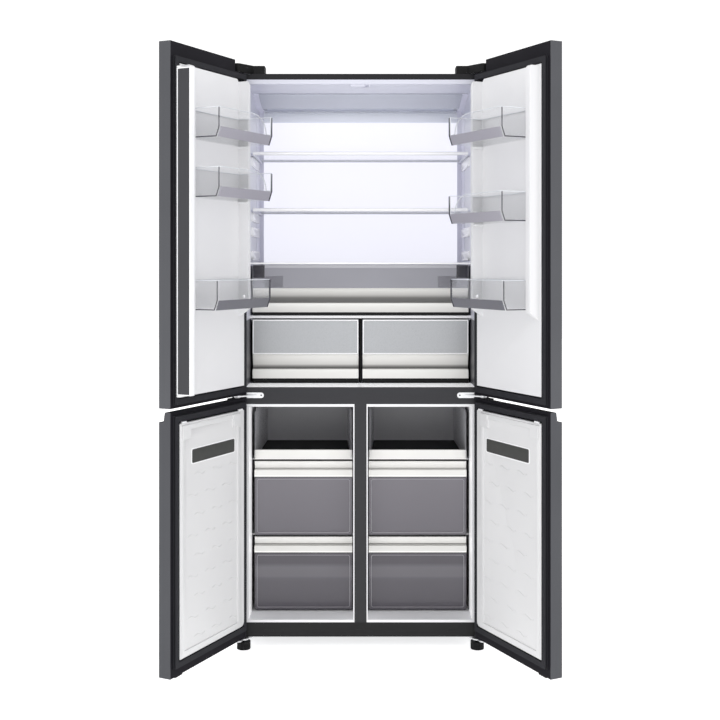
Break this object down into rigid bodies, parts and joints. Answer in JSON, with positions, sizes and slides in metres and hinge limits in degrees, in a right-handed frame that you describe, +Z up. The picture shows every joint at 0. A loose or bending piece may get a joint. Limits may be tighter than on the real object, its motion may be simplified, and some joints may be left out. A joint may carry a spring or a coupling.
{
  "type": "multi-door refrigerator",
  "caption": "Free-standing refrigerator with paired upper doors over paired lower freezer doors, clear door bins, glass shelves, pull-out drawers and a folding door flipper.",
  "frame": {"origin": "on the floor, midway between the reach of the open doors and the back of the cabinet", "axes": "+Z up, the doors face -Y, +X to the right seen from the front"},
  "size_m": [1.129, 0.9912, 1.819],
  "materials": {
    "case_metal": "satin",
    "rear_metal": "satin",
    "foam": "matte",
    "white_liner": "satin",
    "dark_metal": "satin",
    "hinge_steel": "satin",
    "black_plastic": "matte",
    "duct_plastic": "satin",
    "lamp_diffuser": "translucent, lit",
    "shelf_glass": "clear",
    "compressor_steel": "gloss",
    "condenser_metal": "satin",
    "deck_steel": "galvanised",
    "white_plastic": "satin",
    "tray_plastic": "smoky",
    "door_metal": "satin",
    "door_frame": "matte",
    "gasket_rubber": "matte",
    "clear_plastic": "clear",
    "light_moulding": "satin",
    "grey_clear_plastic": "translucent",
    "smoky_plastic": "smoky translucent"
  },
  "bodies": {
    "cabinet": {"outer_case": "case_metal", "rear_panels": "rear_metal", "cabinet_foam": "foam", "fridge_liner": "white_liner", "freezer_liners": "white_liner", "front_rails": "dark_metal", "hinge_brackets": "hinge_steel", "hinge_covers": "black_plastic", "air_ducts": "duct_plastic", "lamp_covers": "lamp_diffuser", "crisper_shelf": "shelf_glass", "compressor": "compressor_steel", "condenser": "condenser_metal", "machine_base": "deck_steel"},
    "upper_shelf": {"upper_shelf": "shelf_glass"},
    "middle_shelf": {"middle_shelf": "shelf_glass"},
    "condenser_fan": {"condenser_fan": "black_plastic"},
    "foot_left": {"foot_left": "black_plastic"},
    "foot_right": {"foot_right": "black_plastic"},
    "rear_rollers": {"rear_rollers": "black_plastic"},
    "upper_left_door": {"upper_left_skin": "door_metal", "upper_left_frame": "door_frame", "upper_left_liner": "white_liner", "upper_left_gasket": "gasket_rubber"},
    "upper_right_door": {"upper_right_skin": "door_metal", "upper_right_frame": "door_frame", "upper_right_liner": "white_liner", "upper_right_gasket": "gasket_rubber"},
    "lower_left_door": {"lower_left_skin": "door_metal", "lower_left_frame": "door_frame", "lower_left_liner": "white_liner", "lower_left_gasket": "gasket_rubber"},
    "lower_right_door": {"lower_right_skin": "door_metal", "lower_right_frame": "door_frame", "lower_right_liner": "white_liner", "lower_right_gasket": "gasket_rubber"},
    "flipper": {"flipper_housing": "white_plastic", "flipper_face": "dark_metal"},
    "bin_left_top": {"bin_left_top": "clear_plastic"},
    "bin_left_middle": {"bin_left_middle": "clear_plastic"},
    "bin_left_bottom": {"bin_left_bottom": "clear_plastic"},
    "bin_right_top": {"bin_right_top": "clear_plastic"},
    "bin_right_middle": {"bin_right_middle": "clear_plastic"},
    "bin_right_bottom": {"bin_right_bottom": "clear_plastic"},
    "crisper_drawer": {"crisper_tub": "grey_clear_plastic", "crisper_front": "light_moulding"},
    "half_left_drawer": {"half_left_tub": "grey_clear_plastic", "half_left_front": "light_moulding"},
    "tray_left": {"tray_left": "tray_plastic"},
    "middle_left_drawer": {"middle_left_tub": "smoky_plastic", "middle_left_handle": "light_moulding"},
    "bottom_left_drawer": {"bottom_left_tub": "smoky_plastic", "bottom_left_handle": "light_moulding"},
    "half_right_drawer": {"half_right_tub": "grey_clear_plastic", "half_right_front": "light_moulding"},
    "tray_right": {"tray_right": "tray_plastic"},
    "middle_right_drawer": {"middle_right_tub": "smoky_plastic", "middle_right_handle": "light_moulding"},
    "bottom_right_drawer": {"bottom_right_tub": "smoky_plastic", "bottom_right_handle": "light_moulding"}
  },
  "joints": [
    {"name": "upper_left_door_hinge", "type": "hinge", "parent": "cabinet", "child": "upper_left_door", "pos_m": [-0.38, -0.12736, 0.786], "axis": [0, 0, -1], "range_deg": [-116, 9]},
    {"name": "upper_right_door_hinge", "type": "hinge", "parent": "cabinet", "child": "upper_right_door", "pos_m": [0.38, -0.12736, 0.786], "axis": [0, 0, 1], "range_deg": [-116, 9]},
    {"name": "lower_left_door_hinge", "type": "hinge", "parent": "cabinet", "child": "lower_left_door", "pos_m": [-0.38, -0.12736, 0.786], "axis": [0, 0, -1], "range_deg": [-116, 9]},
    {"name": "lower_right_door_hinge", "type": "hinge", "parent": "cabinet", "child": "lower_right_door", "pos_m": [0.38, -0.12736, 0.786], "axis": [0, 0, 1], "range_deg": [-116, 9]},
    {"name": "flipper_hinge", "type": "hinge", "parent": "upper_left_door", "child": "flipper", "pos_m": [-0.50432, -0.46893, 1.286], "axis": [0, 0, 1], "range_deg": [-90, 0]},
    {"name": "bin_left_top_slide", "type": "slide", "parent": "upper_left_door", "child": "bin_left_top", "axis": [0, 0, 1], "range_m": [0, 0.06]},
    {"name": "bin_left_middle_slide", "type": "slide", "parent": "upper_left_door", "child": "bin_left_middle", "axis": [0, 0, 1], "range_m": [0, 0.06]},
    {"name": "bin_left_bottom_slide", "type": "slide", "parent": "upper_left_door", "child": "bin_left_bottom", "axis": [0, 0, 1], "range_m": [0, 0.06]},
    {"name": "bin_right_top_slide", "type": "slide", "parent": "upper_right_door", "child": "bin_right_top", "axis": [0, 0, 1], "range_m": [0, 0.06]},
    {"name": "bin_right_middle_slide", "type": "slide", "parent": "upper_right_door", "child": "bin_right_middle", "axis": [0, 0, 1], "range_m": [0, 0.06]},
    {"name": "bin_right_bottom_slide", "type": "slide", "parent": "upper_right_door", "child": "bin_right_bottom", "axis": [0, 0, 1], "range_m": [0, 0.06]},
    {"name": "upper_shelf_slide", "type": "slide", "parent": "cabinet", "child": "upper_shelf", "axis": [0, -1, 0], "range_m": [0, 0.18]},
    {"name": "middle_shelf_slide", "type": "slide", "parent": "cabinet", "child": "middle_shelf", "axis": [0, -1, 0], "range_m": [0, 0.18]},
    {"name": "crisper_drawer_slide", "type": "slide", "parent": "cabinet", "child": "crisper_drawer", "axis": [0, -1, 0], "range_m": [0, 0.185]},
    {"name": "half_left_drawer_slide", "type": "slide", "parent": "cabinet", "child": "half_left_drawer", "axis": [0, -1, 0], "range_m": [0, 0.24]},
    {"name": "tray_left_slide", "type": "slide", "parent": "cabinet", "child": "tray_left", "axis": [0, -1, 0], "range_m": [0, 0.3]},
    {"name": "middle_left_drawer_slide", "type": "slide", "parent": "cabinet", "child": "middle_left_drawer", "axis": [0, -1, 0], "range_m": [0, 0.3]},
    {"name": "bottom_left_drawer_slide", "type": "slide", "parent": "cabinet", "child": "bottom_left_drawer", "axis": [0, -1, 0], "range_m": [0, 0.24]},
    {"name": "half_right_drawer_slide", "type": "slide", "parent": "cabinet", "child": "half_right_drawer", "axis": [0, -1, 0], "range_m": [0, 0.24]},
    {"name": "tray_right_slide", "type": "slide", "parent": "cabinet", "child": "tray_right", "axis": [0, -1, 0], "range_m": [0, 0.3]},
    {"name": "middle_right_drawer_slide", "type": "slide", "parent": "cabinet", "child": "middle_right_drawer", "axis": [0, -1, 0], "range_m": [0, 0.3]},
    {"name": "bottom_right_drawer_slide", "type": "slide", "parent": "cabinet", "child": "bottom_right_drawer", "axis": [0, -1, 0], "range_m": [0, 0.24]},
    {"name": "foot_left_turn", "type": "hinge", "parent": "cabinet", "child": "foot_left", "pos_m": [-0.363, -0.10536, 0.02], "axis": [0, 0, 1], "continuous": true},
    {"name": "foot_right_turn", "type": "hinge", "parent": "cabinet", "child": "foot_right", "pos_m": [0.363, -0.10536, 0.02], "axis": [0, 0, 1], "continuous": true},
    {"name": "rear_roller_spin", "type": "hinge", "parent": "cabinet", "child": "rear_rollers", "pos_m": [0, 0.44064, 0.015], "axis": [1, 0, 0], "continuous": true},
    {"name": "condenser_fan_spin", "type": "hinge", "parent": "cabinet", "child": "condenser_fan", "pos_m": [-0.118, 0.40564, 0.121], "axis": [1, 0, 0], "continuous": true}
  ]
}
